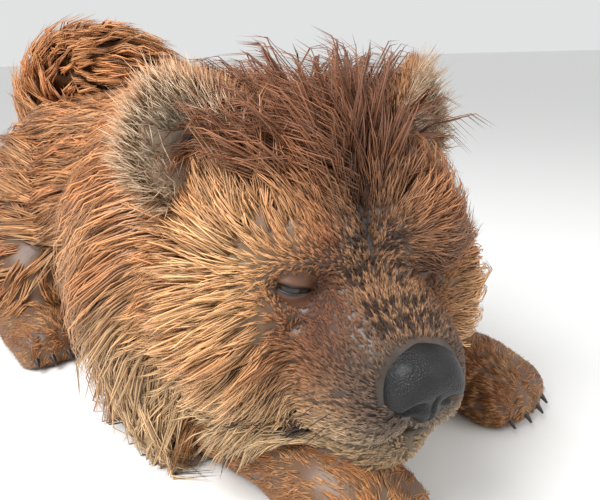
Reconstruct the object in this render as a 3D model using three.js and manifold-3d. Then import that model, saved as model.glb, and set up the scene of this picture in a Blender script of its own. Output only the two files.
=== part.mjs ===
// A life-size chow chow, lying on its chest with its forelegs stretched forward and its wet head
// held low over them, turned a little to its right. Millimetres, +X forward, +Y to its left, +Z up.
// The origin is on the floor, under the breastbone.
import * as THREE from "three";
import { mergeVertices } from "three/addons/utils/BufferGeometryUtils.js";
import Module from "manifold-3d";

const wasm = await Module();
wasm.setup();
const { Manifold, Mesh } = wasm;

// Driving sizes
const WITHERS_HEIGHT = 257; // of the core, lying down
const BODY_HALF_WIDTH = 112;
const HEAD_PLACE = new THREE.Vector3(250, -56, 166); // the point between the eyes
const HEAD_TURN = -18; // degrees, to the dog's right
const HEAD_BOW = 4; // degrees, nose down
const EYE_SPACING = 88;
const EYE_RADIUS = 11.5;
const EAR_HEIGHT = 86;
const EAR_WIDTH = 80;
const EAR_SPACING = 156; // between the middles of the two ear roots
const LEG_SPACING = 190; // between the two forearms
const FOREARM_Z = 33;
const NEAR_REACH = 22; // the right foreleg lies this much further forward
const GAP = 0.4; // between touching pieces
const TAIL_CORE = 27;
const FUR_BLEND = 16; // how softly the forms of the body run together
const FACE_BLEND = 7;
const PAW_BLEND = 4;
const NOSE_BLEND = 3;
const LONGEST_RAY = 420; // from inside a form to its surface
const LID_THICKNESS = 3.2;
const SMALLEST_EDGE = 2e-3; // corners closer than this are one corner

// One seeded draw for all that varies
let seed = 20251;
const draw = () => {
  seed = (seed * 1664525 + 1013904223) % 4294967296;
  return seed / 4294967296;
};
const vary = (share) => 1 + share * (2 * draw() - 1);
const V = (x, y, z) => new THREE.Vector3(x, y, z);

// Distance-like fields, in mm: below 0 inside
const ball = (x, y, z, rx, ry, rz) => (p) => {
  const dx = (p.x - x) / rx;
  const dy = (p.y - y) / ry;
  const dz = (p.z - z) / rz;
  const k0 = Math.hypot(dx, dy, dz);
  const k1 = Math.hypot(dx / rx, dy / ry, dz / rz);
  return k1 < 1e-9 ? -Math.min(rx, ry, rz) : (k0 * (k0 - 1)) / k1;
};
const taper = (a, b, ra, rb) => (p) => {
  const ab = b.clone().sub(a);
  const ap = p.clone().sub(a);
  const h = THREE.MathUtils.clamp(ap.dot(ab) / ab.lengthSq(), 0, 1);
  return ap.addScaledVector(ab, -h).length() - THREE.MathUtils.lerp(ra, rb, h);
};
const blend = (softness, fields) => (p) => {
  let sum = 0;
  for (const f of fields) sum += Math.exp(-f(p) / softness);
  return -softness * Math.log(sum);
};
const slope = (field, p) => {
  const e = 0.8;
  const g = V(
    field(V(p.x + e, p.y, p.z)) - field(V(p.x - e, p.y, p.z)),
    field(V(p.x, p.y + e, p.z)) - field(V(p.x, p.y - e, p.z)),
    field(V(p.x, p.y, p.z + e)) - field(V(p.x, p.y, p.z - e)),
  );
  return g.multiplyScalar(1 / (2 * e));
};
// Moves a point along the slope of a field until it lies on the field's surface
const settle = (field, p) => {
  const q = p.clone();
  for (let i = 0; i < 6; i++) {
    const g = slope(field, q);
    const step = field(q) / Math.max(g.lengthSq(), 0.05);
    q.addScaledVector(g, -THREE.MathUtils.clamp(step, -25, 25));
  }
  return q;
};

// How far a ray runs from inside a field until the field reaches `level`, by halving
const rayLength = (field, start, ray, level, halvings) => {
  let near = 0;
  let far = LONGEST_RAY;
  for (let i = 0; i < halvings; i++) {
    const mid = (near + far) / 2;
    if (field(start.clone().addScaledVector(ray, mid)) < level) near = mid;
    else far = mid;
  }
  return near;
};

// A closed three.js geometry as a solid, and back
const bare = (geometry) => {
  geometry.deleteAttribute("normal");
  geometry.deleteAttribute("uv");
  return mergeVertices(geometry, 1e-4);
};
const solid = (geometry) =>
  new Manifold(
    new Mesh({
      numProp: 3,
      vertProperties: new Float32Array(geometry.attributes.position.array),
      triVerts: new Uint32Array(geometry.index.array),
    }),
  );
const geometryOf = (body) => {
  const { vertProperties, triVerts } = body.getMesh();
  const geometry = new THREE.BufferGeometry();
  geometry.setAttribute("position", new THREE.BufferAttribute(new Float32Array(vertProperties), 3));
  geometry.setIndex(new THREE.BufferAttribute(new Uint32Array(triVerts), 1));
  return geometry;
};
const move = (geometry, place) => {
  const at = geometry.attributes.position;
  const p = V(0, 0, 0);
  for (let i = 0; i < at.count; i++) {
    p.fromBufferAttribute(at, i);
    const q = place(p);
    at.setXYZ(i, q.x, q.y, q.z);
  }
  return geometry;
};

// Moves every point of a geometry outward along its own normal
const swell = (geometry, grow) => {
  geometry.computeVertexNormals();
  const { position, normal } = geometry.attributes;
  for (let i = 0; i < position.count; i++) {
    position.setXYZ(
      i,
      position.getX(i) + grow * normal.getX(i),
      position.getY(i) + grow * normal.getY(i),
      position.getZ(i) + grow * normal.getZ(i),
    );
  }
  return geometry;
};

// A ball of rings and sides whose points are cast out to a field's surface. The rays start along
// the line from `from` to `to`, and the poles lie on that line.
const cast = (field, from, to, rings, sides, grow = 0) => {
  const along = to.clone().sub(from);
  const axis = along.clone().normalize();
  const turn = new THREE.Quaternion().setFromUnitVectors(V(0, 1, 0), axis);
  const ball = bare(new THREE.SphereGeometry(1, sides, rings));
  return solid(
    move(ball, (p) => {
      const share = 1 - Math.acos(THREE.MathUtils.clamp(p.y, -1, 1)) / Math.PI;
      const start = from.clone().addScaledVector(along, share * share * (3 - 2 * share));
      const ray = p.clone().applyQuaternion(turn);
      return start.addScaledVector(ray, rayLength(field, start, ray, grow, 34));
    }),
  );
};

// A flat, tapered, bent lock. It leaves the surface of `field` at `root`, sunk in, lies along
// `lie` and rises to `rise` over the surface before its tip bends back by `droop`.
const LOCK_STEPS = 2;
const SINK = 9;
const lock = (field, root, lie, size, grow = 0) => {
  const { length, width, thick, rise, droop = 0.25, curl = 0 } = size;
  const places = [];
  let foot = settle(field, root);
  const heading = lie.clone().normalize();
  for (let k = 0; k <= LOCK_STEPS; k++) {
    const up = slope(field, foot).normalize();
    heading.addScaledVector(up, -heading.dot(up)).normalize();
    const t = k / LOCK_STEPS;
    const height = -SINK + (rise + SINK) * Math.sin((Math.PI / 2) * Math.min(1, t * 1.25)) -
      droop * rise * t * t;
    places.push({ at: foot.clone().addScaledVector(up, height), up });
    const side = heading.clone().cross(up);
    heading.addScaledVector(side, curl / LOCK_STEPS).normalize();
    foot = settle(field, foot.clone().addScaledVector(heading, length / LOCK_STEPS));
  }
  const shape = bare(new THREE.ConeGeometry(1, 1, 3, LOCK_STEPS));
  return solid(
    move(shape, (p) => {
      const t = THREE.MathUtils.clamp(p.y + 0.5, 0, 1);
      const k = Math.round(t * LOCK_STEPS);
      const here = places[k];
      const next = places[Math.min(k + 1, LOCK_STEPS)].at;
      const last = places[Math.max(k - 1, 0)].at;
      const run = next.clone().sub(last).normalize();
      const side = run.clone().cross(here.up).normalize();
      const up = side.clone().cross(run);
      const full = Math.max(1 - t, 1e-6);
      const across = p.x / full;
      const through = p.z / full;
      const wide = t >= 1 ? 0 : (width / 2) * (1 - 0.55 * Math.pow(t, 1.5)) + grow;
      const deep = t >= 1 ? 0 : (thick / 2) * (1 - 0.45 * t) + grow;
      const q = here.at.clone();
      if (t >= 1) return q.addScaledVector(run, grow * 3);
      if (k === 0) q.addScaledVector(run, -grow);
      return q.addScaledVector(side, across * wide).addScaledVector(up, through * deep);
    }),
  );
};

// Head, in its own frame: origin between the eyes, x forward
const headPlace = new THREE.Matrix4().compose(
  HEAD_PLACE,
  new THREE.Quaternion().setFromEuler(
    new THREE.Euler(0, (HEAD_BOW * Math.PI) / 180, (HEAD_TURN * Math.PI) / 180, "ZYX"),
  ),
  V(1, 1, 1),
);
const EYE_Y = EYE_SPACING / 2;
const EYE_AT = [28, EYE_Y, 0];
const socket = (p) => {
  const d2 = (p.x - 40) ** 2 + (Math.abs(p.y) - EYE_Y) ** 2 * 0.6 + (p.z - 1) ** 2 * 1.7;
  return 12 * Math.exp(-d2 / (15 * 15));
};
const furrow = (p) => 6 * Math.exp(-((p.y / 7) ** 2) - ((p.z - 40) / 38) ** 2) * (p.x > 0 ? 1 : 0);
const faceForm = blend(FACE_BLEND, [
  ball(-40, 0, 12, 84, 84, 64),
  ball(4, 28, 18, 42, 36, 38),
  ball(4, -28, 18, 42, 36, 38),
  ball(-24, 60, -34, 66, 50, 60),
  ball(-24, -60, -34, 66, 50, 60),
  ball(45, 0, -46, 57, 47, 37),
  taper(V(26, 15, -16), V(79, 10, -34), 29, 24),
  taper(V(26, -15, -16), V(79, -10, -34), 29, 24),
  ball(58, 23, -64, 38, 25, 27),
  ball(58, -23, -64, 38, 25, 27),
  ball(-30, 0, -76, 78, 84, 56),
]);
const headField = (p) => faceForm(p) + socket(p) + furrow(p);
const jawField = blend(FACE_BLEND, [
  ball(44, 0, -94, 48, 28, 16),
  ball(8, 0, -92, 48, 44, 22),
]);
const noseField = blend(NOSE_BLEND, [
  ball(100, 0, -31, 19, 22.5, 15.5),
  ball(105, 13, -40, 12.5, 10.5, 11.5),
  ball(105, -13, -40, 12.5, 10.5, 11.5),
  ball(104, 0, -49, 10, 8, 12),
]);
const nostril = (p) =>
  9 * Math.exp(-((p.x - 117) ** 2 / 90 + (Math.abs(p.y) - 12) ** 2 / 22 + (p.z + 44) ** 2 / 20));

// Ears: a thick leaf bent round a cup that opens forward
const earPlace = (side) => {
  const up = V(-0.16, side * 0.42, 0.9).normalize();
  const front = V(0.86, side * 0.5, 0.0);
  front.addScaledVector(up, -front.dot(up)).normalize();
  const across = up.clone().cross(front).normalize();
  const at = V(-44, (side * EAR_SPACING) / 2, 62);
  return { up, front, across, at };
};
const earPoint = (place, u, front, v) =>
  place.at
    .clone()
    .addScaledVector(place.across, u)
    .addScaledVector(place.front, front)
    .addScaledVector(place.up, v);
const earShape = (side, grow) => {
  const place = earPlace(side);
  const leaf = bare(new THREE.SphereGeometry(1, 18, 10));
  const ear = move(leaf, (p) => {
    const v = p.y;
    const narrow = 1 - 0.26 * Math.max(0, v) ** 2;
    const u = p.x * (EAR_WIDTH / 2) * narrow;
    const share = Math.hypot(p.x, 0.75 * v);
    let f = p.z * 10 + 13 * p.x * p.x - 6;
    if (p.z > 0) f -= 13 * Math.max(0, 1 - 1.7 * share ** 2);
    return world(earPoint(place, u, f, (v * EAR_HEIGHT) / 2 + 8));
  });
  return solid(swell(ear, grow));
};
const earFields = [-1, 1].map((s) => {
  const { at, up } = earPlace(s);
  return (p) => local(p).distanceTo(at.clone().addScaledVector(up, 6)) - 30;
});

// Body, in the part's frame
const SIDES = { right: -1, left: 1 };
const legY = LEG_SPACING / 2;
const torsoField = blend(FUR_BLEND, [
  ball(12, 0, WITHERS_HEIGHT - 132, 126, BODY_HALF_WIDTH - 4, 132),
  ball(-95, 0, 122, 155, BODY_HALF_WIDTH, 124),
  ball(-195, 0, 116, 118, BODY_HALF_WIDTH - 8, 112),
  ball(-262, 0, 114, 98, BODY_HALF_WIDTH, 116),
]);
const neckField = blend(FUR_BLEND, [
  ball(66, -5, 138, 96, 114, 118),
  ball(128, -30, 118, 84, 128, 114),
]);
const reach = (s) => (s < 0 ? NEAR_REACH : 0);
const forelegField = (s) =>
  blend(10, [
    ball(52, s * 92, 108, 60, 42, 90),
    taper(V(66, s * (legY + 6), 34), V(222 + reach(s), s * legY, FOREARM_Z - 2), 40, 32),
  ]);
// Four toes in a row, the middle two furthest forward
const toes = (x, y, z, places, rx, ry, rz) =>
  places.map((across) => ball(x - Math.abs(across) * 0.3, y + across, z, rx, ry, rz));
const forepawField = (s) => {
  const x = 262 + reach(s);
  const front = toes(x + 42, s * legY, 18, [-25, -9, 9, 25], 24, 12, 21);
  return blend(PAW_BLEND, [ball(x, s * legY, 26, 50, 38, 31), ...front]);
};
const hindlegField = (s) =>
  blend(14, [
    ball(-228, s * 104, 97, 104, 54, 100),
    taper(V(-150, s * 126, 66), V(-282, s * 122, 44), 50, 38),
  ]);
const hindpawField = (s) => {
  const x = -112;
  const y = s * 146;
  const front = toes(x + 40, y, 17, [-22, -8, 8, 22], 22, 11, 20);
  return blend(PAW_BLEND, [
    taper(V(-270, s * 140, 26), V(-150, y, 27), 27, 30),
    ball(x, y, 25, 46, 35, 30),
    ...front,
  ]);
};
const tailLine = new THREE.CatmullRomCurve3([
  V(-318, 0, 182),
  V(-352, 2, 230),
  V(-340, 10, 270),
  V(-286, 24, 288),
  V(-230, 44, 280),
  V(-196, 74, 254),
  V(-200, 98, 222),
]);
const TAIL_STEPS = 28;
const tailPoints = tailLine.getPoints(TAIL_STEPS);
const tailRadius = (t) => TAIL_CORE * (0.8 + 0.5 * Math.sin(Math.PI * Math.min(1, t * 0.9 + 0.1)));
const tailField = (p) => {
  let best = 1e9;
  for (let i = 0; i <= TAIL_STEPS; i++) {
    const d = p.distanceTo(tailPoints[i]) - tailRadius(i / TAIL_STEPS);
    if (d < best) best = d;
  }
  return best;
};
// The tail between two shares of its line, with rounded ends
const tailShape = (t0, t1, grow) => {
  const tube = bare(new THREE.SphereGeometry(1, 10, 10));
  return solid(
    move(tube, (p) => {
      const polar = Math.acos(THREE.MathUtils.clamp(p.y, -1, 1)) / Math.PI;
      const s = THREE.MathUtils.clamp((1 - polar - 0.06) / 0.88, 0, 1);
      const t = THREE.MathUtils.lerp(t0, t1, s);
      const run = tailLine.getTangent(t);
      const out = V(0, 1, 0).addScaledVector(run, -run.y).normalize();
      const up = out.clone().cross(run);
      const r = tailRadius(t) + grow;
      const ringSize = Math.hypot(p.x, p.z);
      const reachOut = Math.min(1, ringSize / 0.5);
      const n = Math.max(ringSize, 1e-6);
      const cap = (p.y > 0 ? 1 : -1) * Math.max(0, Math.abs(p.y) - 0.87) * 4 * (r * 0.7);
      return tailLine
        .getPoint(t)
        .addScaledVector(out, (p.x / n) * r * reachOut)
        .addScaledVector(up, (p.z / n) * r * reachOut)
        .addScaledVector(run, cap);
    }),
  );
};

// Places spread evenly over a form seen from `centre`: one lock for each place that `rule` accepts
const coat = (field, centre, count, rule) => {
  const locks = [];
  const grown = [];
  for (let i = 0; i < count; i++) {
    const z = 1 - (2 * (i + 0.5)) / count;
    const angle = i * Math.PI * (3 - Math.sqrt(5)) + 0.3 * draw();
    const ring = Math.sqrt(1 - z * z);
    const ray = V(ring * Math.cos(angle), ring * Math.sin(angle), z);
    const root = centre.clone().addScaledVector(ray, rayLength(field, centre, ray, 0, 22));
    const shape = rule(root, slope(field, root).normalize());
    if (!shape) continue;
    const size = { ...shape.size };
    size.length *= vary(0.12);
    size.rise *= vary(0.2);
    size.curl = 0.35 * (2 * draw() - 1);
    locks.push(lock(field, root, shape.lie, size));
    grown.push(lock(field, root, shape.lie, size, 4 * GAP));
  }
  return { locks, grown };
};

const toHead = headPlace.clone().invert();
const local = (p) => p.clone().applyMatrix4(toHead);
const world = (p) => p.clone().applyMatrix4(headPlace);
const inHead = (field) => (p) => field(local(p));
const headSolid = (field, from, to, rings, sides, grow) =>
  cast(inHead(field), world(from), world(to), rings, sides, grow);

// The core of each piece. `grow` swells it, to cut its neighbours with a gap.
const shapes = {
  eye: (s, grow) =>
    solid(
      move(bare(new THREE.SphereGeometry(EYE_RADIUS + grow, 14, 10)), (p) =>
        world(V(EYE_AT[0] + p.x, s * EYE_AT[1] + p.y, EYE_AT[2] + p.z)),
      ),
    ),
  lid: (s) => {
    const cover = solid(
      move(bare(new THREE.SphereGeometry(EYE_RADIUS + LID_THICKNESS, 16, 12)), (p) =>
        world(V(EYE_AT[0] - 0.5 + p.x, s * EYE_AT[1] + p.y, EYE_AT[2] + p.z)),
      ),
    );
    const slit = solid(
      move(bare(new THREE.SphereGeometry(1, 14, 8)), (p) =>
        world(V(46 + p.x * 22, s * (EYE_AT[1] + 1) + p.y * 11, p.z * 4 - 1 - 0.12 * p.y * 11)),
      ),
    );
    return cover.subtract(slit);
  },
  nose: (grow) =>
    headSolid((p) => noseField(p) + nostril(p), V(88, 0, -36), V(104, 0, -38), 12, 18, grow),
  jaw: (grow) => headSolid(jawField, V(0, 0, -92), V(58, 0, -94), 8, 14, grow),
  head: (grow) => headSolid(headField, V(-60, 0, -10), V(62, 0, -42), 26, 30, grow),
  foreleg: (s, grow) => {
    const wrist = V(214 + reach(s), s * legY, 30);
    return cast(forelegField(s), V(70, s * 94, 60), wrist, 12, 12, grow);
  },
  forepaw: (s, grow) => {
    const heel = V(240 + reach(s), s * legY, 24);
    return cast(forepawField(s), heel, V(292 + reach(s), s * legY, 20), 10, 16, grow);
  },
  hindleg: (s, grow) => {
    const hip = V(-258, s * 108, 90);
    return cast(hindlegField(s), hip, V(-180, s * 112, 84), 10, 14, grow);
  },
  hindpaw: (s, grow) => {
    const hock = V(-262, s * 140, 26);
    return cast(hindpawField(s), hock, V(-84, s * 146, 20), 14, 12, grow);
  },
  neck: (grow) => cast(neckField, V(60, -4, 138), V(136, -30, 120), 10, 16, grow),
  torso: (grow) => cast(torsoField, V(-250, 0, 125), V(20, 0, 135), 14, 18, grow),
};
const floorCut = solid(
  move(bare(mergeVertices(new THREE.BoxGeometry(2000, 1200, 400))), (p) => V(p.x, p.y, p.z - 200)),
);

// The sizes of the locks, region by region. `rise` is how far a tip stands off the core.
const SIZES = {
  crown: { length: 66, width: 34, thick: 11, rise: 48, droop: 0.0 },
  brow: { length: 46, width: 27, thick: 9, rise: 15, droop: 0.3 },
  cheek: { length: 84, width: 48, thick: 13, rise: 24, droop: 0.25 },
  throat: { length: 62, width: 38, thick: 12, rise: 14, droop: 0.2 },
  ruff: { length: 100, width: 58, thick: 16, rise: 32, droop: 0.2 },
  flank: { length: 112, width: 66, thick: 16, rise: 25, droop: 0.3 },
  thigh: { length: 84, width: 52, thick: 14, rise: 16, droop: 0.3 },
  elbow: { length: 64, width: 38, thick: 11, rise: 14, droop: 0.3 },
  plume: { length: 62, width: 34, thick: 12, rise: 34, droop: 0.1 },
};
const turned = (x, y, z) => V(x, y, z).transformDirection(headPlace);
const headFur = coat(inHead(headField), world(V(-38, 0, -10)), 66, (root) => {
  const p = local(root);
  const s = Math.sign(p.y) || 1;
  const out = Math.min(1, Math.abs(p.y) / 70);
  if (p.x > 34 || p.x < -96) return null;
  if (earFields.some((f) => f(root) < 4)) return null;
  if (p.z > 44) return { lie: turned(-0.7, s * 0.5 * out, 0.25), size: SIZES.crown };
  if (p.z > 18 && p.x > -10) return { lie: turned(-0.5, s * 0.5, 0.6), size: SIZES.brow };
  if (p.x > 12 && p.z > -70) return null;
  if (p.z < -66) return { lie: turned(-0.9, s * 0.2, -0.2), size: SIZES.throat };
  return { lie: turned(-0.85, s * 0.3, -0.45), size: SIZES.cheek };
});
// Whether a root lies inside one of the neighbours, where no hair grows
const hidden = (p, fields, depth) => fields.some((f) => f(p) < depth);
const headWorld = inHead(headField);
const neckFur = coat(neckField, V(104, -16, 126), 50, (p, up) => {
  const s = Math.sign(p.y + 14) || 1;
  if (p.z < 16 || hidden(p, [headWorld, torsoField], -2)) return null;
  return { lie: V(-0.8, s * 0.25, -0.2 - 0.5 * (1 - up.z)), size: SIZES.ruff };
});
const torsoFur = coat(torsoField, V(-110, 0, 118), 54, (p, up) => {
  const s = Math.sign(p.y) || 1;
  const legs = [-1, 1].map(hindlegField).concat([-1, 1].map(forelegField));
  if (p.z < 22 || hidden(p, [neckField, tailField, ...legs], -2)) return null;
  return { lie: V(-0.85, s * 0.12, -0.15 - 0.4 * (1 - up.z)), size: SIZES.flank };
});
const thighFur = (s) =>
  coat(hindlegField(s), V(-222, s * 108, 96), 20, (p, up) => {
    if (p.z < 34 || up.y * s < -0.05 || hidden(p, [torsoField], 0)) return null;
    return { lie: V(-0.8, 0, -0.5), size: SIZES.thigh };
  });
const elbowFur = (s) =>
  coat(forelegField(s), V(84, s * 98, 70), 16, (p) => {
    if (p.z < 30 || p.x > 150 || hidden(p, [torsoField, neckField, headWorld], 2)) return null;
    return { lie: V(-0.75, 0, -0.55), size: SIZES.elbow };
  });
// The locks of the tail, set round its line in a spiral
const plume = (from, to, count) => {
  const locks = [];
  const grown = [];
  for (let i = 0; i < count; i++) {
    const t = THREE.MathUtils.lerp(from, to, (i + 0.5) / count);
    const run = tailLine.getTangent(t);
    const outward = V(0, 1, 0).addScaledVector(run, -run.y).normalize();
    const raised = outward.clone().cross(run);
    const angle = i * 2.4 + 0.4 * draw();
    const up = outward.multiplyScalar(Math.cos(angle)).addScaledVector(raised, Math.sin(angle));
    const root = tailLine.getPoint(t).addScaledVector(up, tailRadius(t));
    if (hidden(root, [torsoField], 4)) continue;
    const size = { ...SIZES.plume, length: SIZES.plume.length * vary(0.15) };
    locks.push(lock(tailField, root, run, size));
    grown.push(lock(tailField, root, run, size, 4 * GAP));
  }
  return { locks, grown };
};

// The order of the list is the order of right of way: each piece gives way to those before it
const pieces = [];
const add = (name, slot, make, fur = { locks: [], grown: [] }) => {
  pieces.push({ name, slot, core: make(0), grownCore: make(GAP), fur });
};
for (const [word, s] of Object.entries(SIDES)) {
  add(`eye_${word}`, "eye", (g) => shapes.eye(s, g));
}
add("nose", "nose_leather", shapes.nose);
for (const [word, s] of Object.entries(SIDES)) {
  add(`ear_${word}`, "ear", (g) => earShape(s, g));
}
add("jaw", "wet_coat", shapes.jaw);
add("head", "wet_coat", shapes.head, headFur);
for (const [word, s] of Object.entries(SIDES)) {
  add(`forepaw_${word}`, "wet_coat", (g) => shapes.forepaw(s, g));
  add(`foreleg_${word}`, "wet_coat", (g) => shapes.foreleg(s, g), elbowFur(s));
  add(`hindpaw_${word}`, "wet_coat", (g) => shapes.hindpaw(s, g));
  add(`hindleg_${word}`, "wet_coat", (g) => shapes.hindleg(s, g), thighFur(s));
}
add("tail_end", "wet_coat", (g) => tailShape(0.5, 1, g), plume(0.52, 0.98, 8));
add("tail_base", "wet_coat", (g) => tailShape(0, 0.5, g), plume(0.12, 0.46, 6));
add("neck", "wet_coat", shapes.neck, neckFur);
add("torso", "wet_coat", shapes.torso, torsoFur);

// Keeps the one closed surface that holds the most, which also fills any sealed hollow
const largest = (body) => {
  const corners = mergeVertices(geometryOf(body), SMALLEST_EDGE);
  const at = corners.index.array;
  const kept = [];
  for (let i = 0; i < at.length; i += 3) {
    const [a, b, c] = at.slice(i, i + 3);
    if (a !== b && b !== c && c !== a) kept.push(a, b, c);
  }
  corners.setIndex(kept);
  const bodies = solid(corners).decompose();
  bodies.sort((first, second) => second.volume() - first.volume());
  return bodies[0];
};
const joined = (list) => list.reduce((sum, next) => sum.add(next));
const done = [];
const finish = (piece, index) => {
  let body = piece.core;
  if (piece.name === "head") body = joined([body, shapes.lid(1), shapes.lid(-1)]);
  for (const higher of pieces.slice(0, index)) body = body.subtract(higher.grownCore);
  if (piece.fur.locks.length) {
    let locks = joined(piece.fur.locks);
    for (const other of pieces) if (other !== piece) locks = locks.subtract(other.grownCore);
    for (const higher of pieces.slice(0, index)) {
      if (higher.fur.grown.length) locks = locks.subtract(joined(higher.fur.grown));
    }
    body = body.add(locks);
  }
  body = body.subtract(floorCut);
  for (const other of done) body = body.subtract(other);
  body = largest(body);
  done.push(body);
  return body;
};

// Colour and roughness
const looks = {
  eye: [0x2a1a10, 0.15],
  nose_leather: [0x3b3c3f, 0.45],
  ear: [0xbe966e, 0.8],
  wet_coat: [0xa8703f, 0.6],
};
const dog = new THREE.Group();
dog.name = "chow_chow";
pieces.forEach((piece, index) => {
  const geometry = geometryOf(finish(piece, index));
  geometry.computeVertexNormals();
  const [color, roughness] = looks[piece.slot];
  const mesh = new THREE.Mesh(geometry, new THREE.MeshStandardMaterial({ color, roughness }));
  mesh.name = piece.name;
  dog.add(mesh);
});

export default dog;
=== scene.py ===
"""A life-size chow chow with a wet coat, lying on its chest with its head low over its forelegs."""
import math

import bpy
import numpy as np
from mathutils import Matrix, Vector


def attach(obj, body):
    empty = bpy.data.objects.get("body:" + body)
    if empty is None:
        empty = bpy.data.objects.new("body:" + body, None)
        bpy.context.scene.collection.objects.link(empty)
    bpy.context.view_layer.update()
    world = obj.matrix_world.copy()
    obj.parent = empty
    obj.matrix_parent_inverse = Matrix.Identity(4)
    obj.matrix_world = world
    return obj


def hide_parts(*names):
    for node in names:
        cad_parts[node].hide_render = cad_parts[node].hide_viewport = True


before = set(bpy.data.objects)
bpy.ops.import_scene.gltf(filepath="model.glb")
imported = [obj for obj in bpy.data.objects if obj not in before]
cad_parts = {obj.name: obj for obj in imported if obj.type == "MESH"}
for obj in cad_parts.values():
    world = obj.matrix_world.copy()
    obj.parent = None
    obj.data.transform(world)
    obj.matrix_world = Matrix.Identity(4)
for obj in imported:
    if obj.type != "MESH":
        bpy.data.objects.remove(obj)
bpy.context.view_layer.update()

bl_info = {
    "name": "Wet chow chow",
    "version": (1, 0, 0),
    "blender": (4, 5, 0),
    "location": "View3D > Sidebar > Chow chow",
    "description": "A life-size chow chow with a wet coat, built over its packed solids",
    "category": "Object",
}

# Sizes in mm, the same as in the solids
HEAD_PLACE = np.array([250.0, -56.0, 166.0])
HEAD_TURN = -18.0
HEAD_BOW = 4.0
EYE_AT = np.array([28.0, 44.0, 0.0])
EYE_RADIUS = 11.5
LID_SLANT = 0.16
EAR_HEIGHT = 86.0
EAR_WIDTH = 80.0
EAR_SPACING = 156.0
LEG_Y = 95.0
NEAR_REACH = 22.0
FOREARM_Z = 33.0
TAIL_CORE = 27.0
BLEND_BODY = 16.0
BLEND_FACE = 7.0
MM = 0.001

# The forepaws in mm: the left one's middle, how far its toes lie before it, and their places across
FOREPAW_X = 262.0
FORE_TOE_REACH = 42.0
FORE_TOES = (-25, -9, 9, 25)
# The hind paws in mm: how far they are aside, and their toes' places along and across
HINDPAW_Y = 146.0
HIND_TOE_X = -72.0
HIND_TOES = (-22, -8, 8, 22)
# How far back an outer toe stands for each mm that it stands aside
TOE_BACK = 0.3
# The axis of the muzzle and the nostrils' place, in the head's frame
MUZZLE_AXIS = ((128, 0, -46), (24, 0, -6))
NOSTRIL_Y, NOSTRIL_Z = 11.5, -44.0
# A distance in mm that counts as far outside, and the most that one round of settling moves a point
FAR_OUTSIDE = 200.0
LONGEST_MOVE = 14
# The name of the painted colours, and the depth of a bump in metres
FUR = "fur"
BUMP_DEPTH = 0.001

rng = np.random.default_rng(20251)
# What is made once and used again
made = {}


# Vectors, colours and noise
def unit(v):
    """Every row of v, made one long."""
    return v / np.maximum(np.linalg.norm(v, axis=-1, keepdims=True), 1e-9)


def step(low, high, x):
    """0 below low, 1 above high, and a smooth rise between."""
    t = np.clip((x - low) / (high - low), 0.0, 1.0)
    return t * t * (3 - 2 * t)


def mix(a, b, t):
    """a where t is 0 and b where t is 1. Colours and other rows of three take one t for each row."""
    t = np.asarray(t)
    one_colour = np.ndim(a) == 1 and np.ndim(t) == 1 and len(a) == 3
    if np.ndim(a) == 2 or np.ndim(b) == 2 or one_colour:
        t = t.reshape(-1, 1)
    return a + (b - a) * t


def lin(*rgb):
    """A screen colour of 0 to 255 as linear light."""
    c = np.array(rgb) / 255.0
    return np.where(c < 0.04045, c / 12.92, ((c + 0.055) / 1.055) ** 2.4)


def wander(p, scale, shift=0.0):
    """A smooth noise of -1 to 1: a sum of sines whose directions and lengths differ."""
    q = p / scale
    a = np.sin(q[:, 0] * 1.7 + 1.3 * np.sin(q[:, 1] * 1.1 + shift) + shift)
    b = np.sin(q[:, 1] * 1.9 + 1.1 * np.sin(q[:, 2] * 1.3 + 2 * shift) + 2.1)
    c = np.sin(q[:, 2] * 1.5 + 1.2 * np.sin(q[:, 0] * 0.9 - shift) + 4.2 + shift)
    return (a + b + c) / 3


def columns(x, y, z):
    """Rows of three, from numbers or columns of x, y and z."""
    return np.stack(np.broadcast_arrays(x, y, z), -1)


def mirrored(p):
    """The points with the right side folded onto the left: the size of y in place of y."""
    m = p.copy()
    m[:, 1] = np.abs(m[:, 1])
    return m


def along_skin(direction, up):
    """The share of each direction that is square to up, made one long."""
    return unit(direction - (direction * up).sum(1, keepdims=True) * up)


def turn_z(deg):
    """The matrix of a turn about Z, given in degrees."""
    c, s = math.cos(math.radians(deg)), math.sin(math.radians(deg))
    return np.array([[c, -s, 0], [s, c, 0], [0, 0, 1.0]])


def turn_y(deg):
    """The matrix of a turn about Y, given in degrees."""
    c, s = math.cos(math.radians(deg)), math.sin(math.radians(deg))
    return np.array([[c, 0, s], [0, 1.0, 0], [-s, 0, c]])


HEAD_ROT = turn_z(HEAD_TURN) @ turn_y(HEAD_BOW)


def to_head(p):
    """Points of the shared frame in the head's own frame: moved back by its place, then turned back."""
    return (p - HEAD_PLACE) @ HEAD_ROT


def from_head(q):
    """Points of the head's frame in the shared frame: turned, then moved to the head's place."""
    return q @ HEAD_ROT.T + HEAD_PLACE


# The shapes, as fields in mm that are below 0 inside
def ball(p, x, y, z, rx, ry, rz):
    """An ellipsoid: k0(k0-1)/k1, with k0 the scaled distance and k1 that over the squared radii."""
    d = p - np.array([x, y, z])
    r = np.array([rx, ry, rz])
    k0 = np.linalg.norm(d / r, axis=1)
    k1 = np.maximum(np.linalg.norm(d / r**2, axis=1), 1e-9)
    return k0 * (k0 - 1) / k1


def taper(p, a, b, ra, rb):
    """A rod with round ends whose radius runs from ra to rb."""
    a, b = np.array(a, float), np.array(b, float)
    h = np.clip((p - a) @ (b - a) / ((b - a) @ (b - a)), 0, 1)
    return np.linalg.norm(p - a - h[:, None] * (b - a), axis=1) - (ra + (rb - ra) * h)


def blend(softness, *fields):
    """Fields run softly together: -k log of the sum of exp(-d/k)."""
    low = np.minimum.reduce(fields)
    return low - softness * np.log(sum(np.exp(-(f - low) / softness) for f in fields))


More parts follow.
